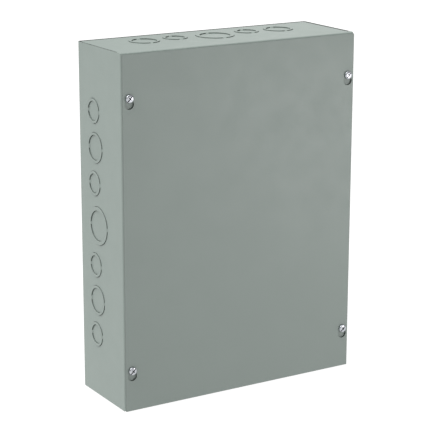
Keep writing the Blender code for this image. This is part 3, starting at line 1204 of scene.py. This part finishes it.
class PULL_BOX_OT_screws(bpy.types.Operator):
    """Turns a pan-head screw with its recess and rolled thread, and copies it to the four corners"""

    bl_idname = "pull_box.screws"
    bl_label = "Cover Screws"

    def execute(self, context):
        settings = context.scene.pull_box_screw
        low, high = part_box("cover_screw_top_left")
        length = high.y - low.y - HEAD_HEIGHT
        screw = self.head_and_shank(length, settings.core_radius)
        self.cut_recess(screw, settings)
        round_edges(screw, 0.06 * MM, segments=1, angle=50)
        thread = helical_ridge(
            "thread",
            settings.core_radius - 0.1 * MM,
            settings.crest_radius,
            POINT_LENGTH - length,
            -0.5 * MM,
            settings.pitch,
        )
        smooth(thread, 30)
        screw = join("screw", [screw, thread])
        # Painted shade: the faces of the slot and the cross take a much darker copy of the zinc, standing
        # in for the shade inside the recess.
        plate = zinc_plate("bright_zinc_plate")
        recess = zinc_plate("recess_shaded_zinc", context.scene.pull_box_finish.recess_painted_shade)
        finish_with(screw, plate, (recess, self.in_recess))
        for corner in CORNERS:
            x, z = screw_place(corner)
            at = (x, low.y + HEAD_HEIGHT, z)
            piece = copy_to(screw, f"pan_head_screw_{corner}", at, (pi / 2, settings.slot_turn, 0))
            hand_over(piece, f"screw_{corner}", "zinc_screw", f"cover_screw_{corner}")
        forget(screw)
        return {"FINISHED"}

    def head_and_shank(self, length, core_radius):
        """The domed head above z = 0, and the shank with its tapered point below it."""
        pick()
        bpy.ops.mesh.primitive_circle_add(vertices=64, radius=SEAT_RADIUS, fill_type="NGON")
        screw = just_added("screw")
        edit(screw)
        bpy.ops.mesh.select_all(action="SELECT")
        height, radius = 0.0, SEAT_RADIUS / MM
        for next_height, next_radius in HEAD_STATIONS:
            extrude((0, 0, (next_height - height) * MM))
            share = next_radius / radius
            bpy.ops.transform.resize(
                value=(share, share, 1), center_override=(0, 0, next_height * MM)
            )
            height, radius = next_height, next_radius
        choose(screw, "FACE", lambda face: all(corner.co.z < NEAR for corner in face.verts))
        bpy.ops.mesh.inset(thickness=SEAT_RADIUS - core_radius)
        extrude((0, 0, POINT_LENGTH - length))
        extrude((0, 0, -POINT_LENGTH))
        bpy.ops.transform.resize(value=(0.55, 0.55, 1), center_override=(0, 0, -length))
        bpy.ops.mesh.select_all(action="SELECT")
        bpy.ops.mesh.normals_make_consistent(inside=False)
        pick(screw)
        return screw

    def in_recess(self, face):
        """Whether the face is a wall or the floor of the slot or the cross."""
        centre = face.calc_center_median()
        in_head = centre.z > 0.2 * MM and centre.xy.length < 4.4 * MM
        return in_head and (abs(face.normal.z) < 0.5 or centre.z < 1.7 * MM)

    def cut_recess(self, screw, settings):
        """A slot across the head, and the two tapered blades of a cross in its middle."""
        reach, half_slot = 8 * MM, settings.slot_width / 2
        slot_floor = HEAD_HEIGHT - 1.1 * MM
        slot_top = HEAD_HEIGHT + 2 * MM
        slot = add_block("slot", (-reach, -half_slot, slot_floor), (reach, half_slot, slot_top))
        cut(screw, [slot])
        half_length, half_width = 2.6 * MM, 0.66 * MM
        cross_floor = HEAD_HEIGHT - 1.9 * MM
        for turn in (0, pi / 2):
            lowest = (-half_length, -half_width, cross_floor)
            blade = add_block("blade", lowest, (half_length, half_width, HEAD_HEIGHT + MM))
            edit(blade)
            choose(blade, "FACE", lambda face: face.normal.z < -0.9)
            bpy.ops.transform.resize(value=(0.4, 0.7, 1), center_override=(0, 0, cross_floor))
            pick(blade)
            blade.rotation_euler = (0, 0, turn)
            settle(blade)
            cut(screw, [blade])


class PULL_BOX_OT_stage(bpy.types.Operator):
    """Lays the floor, hangs the soft lights and stands the camera"""

    bl_idname = "pull_box.stage"
    bl_label = "Stage"

    def execute(self, context):
        settings = context.scene.pull_box_stage
        pick()
        floor_z = CAD_BOX[0].z - 0.1 * MM
        bpy.ops.mesh.primitive_plane_add(size=40, location=(0, 0, floor_z))
        floor = just_added("floor")
        edit(floor)
        bpy.ops.mesh.select_all(action="SELECT")
        bpy.ops.mesh.subdivide(number_cuts=7)
        pick(floor)
        floor.data.materials.append(studio_floor())
        self.wall(floor_z)
        self.lights(settings)
        self.sky(context, settings)
        bpy.ops.object.camera_add(location=settings.camera_place, rotation=settings.camera_turn)
        camera = context.active_object
        camera.name = camera.data.name = "camera"
        camera.data.sensor_width = 36
        camera.data.lens = settings.lens
        camera.data.clip_start, camera.data.clip_end = 0.05, 100
        context.scene.camera = camera
        return {"FINISHED"}

    def wall(self, floor_z):
        """A domed white wall far behind, which throws no light or shadow on the box."""
        pick()
        bpy.ops.mesh.primitive_uv_sphere_add(segments=64, ring_count=32, radius=18)
        wall = just_added("studio_wall")
        edit(wall)
        bpy.ops.mesh.select_all(action="SELECT")
        bpy.ops.mesh.bisect(plane_co=(0, 0, floor_z - 10 * MM), plane_no=(0, 0, 1), clear_inner=True)
        pick(wall)
        wall.data.materials.append(studio_wall())
        wall.visible_diffuse = False
        wall.visible_glossy = False
        wall.visible_transmission = False
        wall.visible_shadow = False

    def lights(self, settings):
        aim = Vector((0, 0, MIDDLE_Z))
        for name, kind, place, power in (
            ("overhead_light", "SUN", (-0.41, 0.12, 1.1), settings.key),
            ("right_light", "AREA", (0.6, -0.78, 0.06), settings.fill),
            ("back_light", "AREA", (0.7, 0.9, 0.9), settings.rim),
        ):
            turn = (aim - Vector(place)).to_track_quat("-Z", "Y").to_euler()
            bpy.ops.object.light_add(type=kind, location=place, rotation=turn)
            light = bpy.context.active_object
            light.name = light.data.name = name
            light.data.energy = power
            if kind == "SUN":
                light.data.angle = settings.key_spread
            else:
                light.data.color = settings.soft_tint
                light.data.shape = "SQUARE"
                light.data.size = settings.soft_width
                light.visible_camera = False

    def sky(self, context, settings):
        sky = bpy.data.worlds.new("studio_sky")
        sky.use_nodes = True
        background = sky.node_tree.nodes["Background"]
        background.label = "Even white light"
        background.inputs["Color"].default_value = (1, 1, 1, 1)
        background.inputs["Strength"].default_value = settings.sky
        context.scene.world = sky
        context.scene.view_settings.view_transform = "Standard"


class PULL_BOX_PT_panel(bpy.types.Panel):
    bl_idname = "PULL_BOX_PT_panel"
    bl_label = "Pull Box"
    bl_space_type = "VIEW_3D"
    bl_region_type = "UI"
    bl_category = "Pull Box"

    def draw(self, context):
        for group, operators in PANEL_ROWS:
            box = self.layout.box()
            settings = getattr(context.scene, group)
            for name in settings.bl_rna.properties.keys():
                if name not in {"rna_type", "name"}:
                    box.prop(settings, name)
            for operator in operators:
                box.operator(operator)


PANEL_ROWS = (
    ("pull_box_finish", ()),
    ("pull_box_body", ("pull_box.folded_body", "pull_box.end_pans", "pull_box.cover")),
    ("pull_box_knockout", ("pull_box.knockouts",)),
    ("pull_box_screw", ("pull_box.screws",)),
    ("pull_box_stage", ("pull_box.stage",)),
)
SETTINGS = {
    "pull_box_body": BodySettings,
    "pull_box_knockout": KnockoutSettings,
    "pull_box_screw": ScrewSettings,
    "pull_box_finish": FinishSettings,
    "pull_box_stage": StageSettings,
}
CLASSES = (
    *SETTINGS.values(),
    PULL_BOX_OT_folded_body,
    PULL_BOX_OT_end_pans,
    PULL_BOX_OT_knockouts,
    PULL_BOX_OT_cover,
    PULL_BOX_OT_screws,
    PULL_BOX_OT_stage,
    PULL_BOX_PT_panel,
)


def register():
    for made in CLASSES:
        bpy.utils.register_class(made)
    for name, group in SETTINGS.items():
        setattr(bpy.types.Scene, name, PointerProperty(type=group))


def unregister():
    for name in SETTINGS:
        delattr(bpy.types.Scene, name)
    for made in reversed(CLASSES):
        bpy.utils.unregister_class(made)


def main():
    register()
    bpy.ops.pull_box.folded_body()
    bpy.ops.pull_box.end_pans()
    bpy.ops.pull_box.knockouts()
    bpy.ops.pull_box.cover()
    bpy.ops.pull_box.screws()
    bpy.ops.pull_box.stage()


if __name__ == "__main__":
    main()
